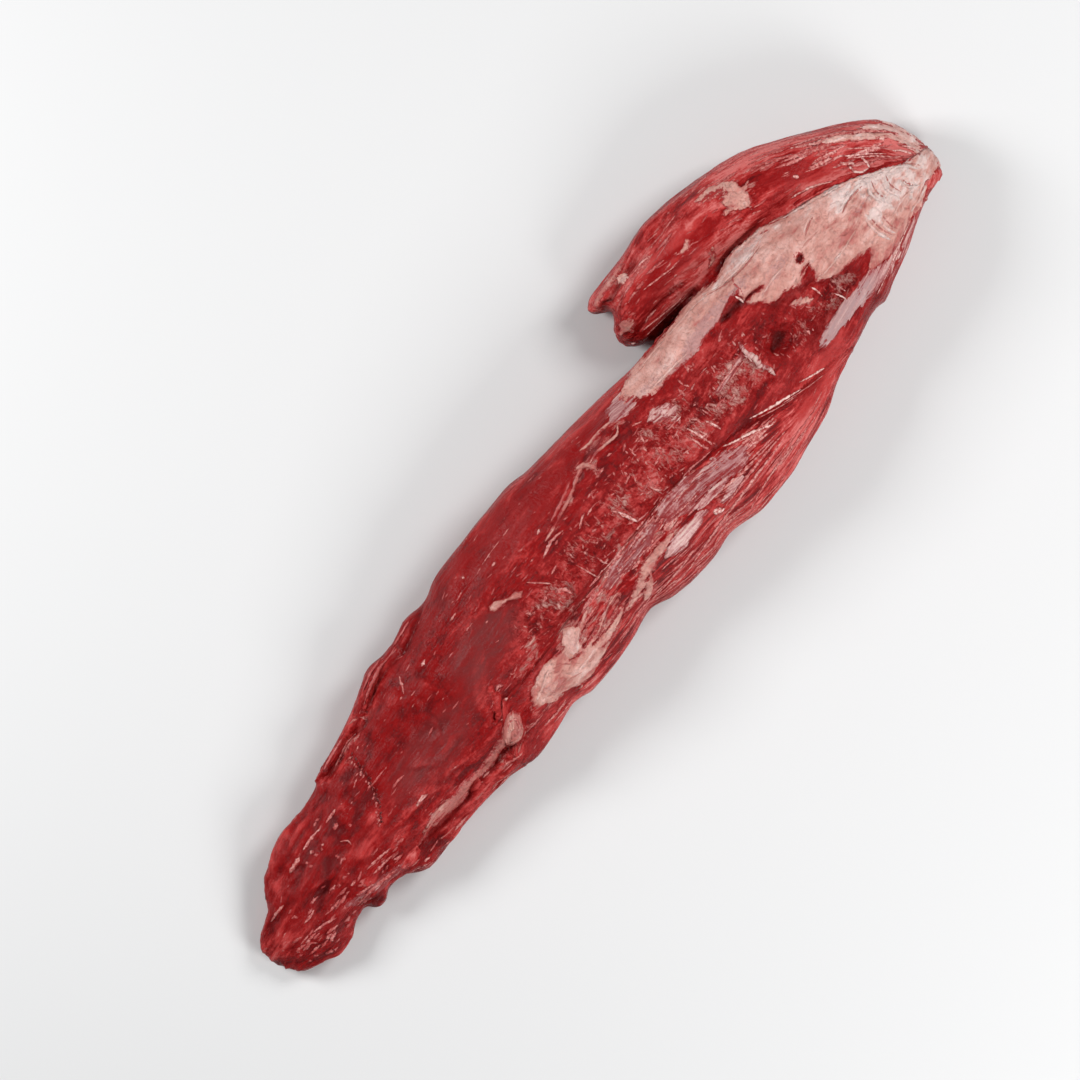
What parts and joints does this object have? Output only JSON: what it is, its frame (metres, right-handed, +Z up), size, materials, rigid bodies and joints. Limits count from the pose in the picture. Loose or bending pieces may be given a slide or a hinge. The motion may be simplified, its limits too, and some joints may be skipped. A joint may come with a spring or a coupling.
{
  "type": "raw beef tenderloin",
  "caption": "Whole raw beef tenderloin lying flat, tapering from a thick fat-covered head to a thin tail, with the side muscle folded along the head.",
  "frame": {"origin": "on the resting surface, under the middle of the part's bounding box", "axes": "+X along the meat from tail to head, +Y across it towards the folded side muscle, +Z up from the surface it lies on"},
  "size_m": [0.546, 0.1411, 0.0629],
  "materials": {
    "raw_meat": "wet deep-red raw beef with a fine lengthwise grain, pale shreds and soft highlights",
    "fat": "creamy pink fat cover, thin and slightly translucent, finely crumpled, satin",
    "silverskin": "thin grey-pink membrane, glossy, with fine lengthwise streaks"
  },
  "bodies": {
    "root": {"tenderloin": "raw_meat"}
  },
  "joints": []
}
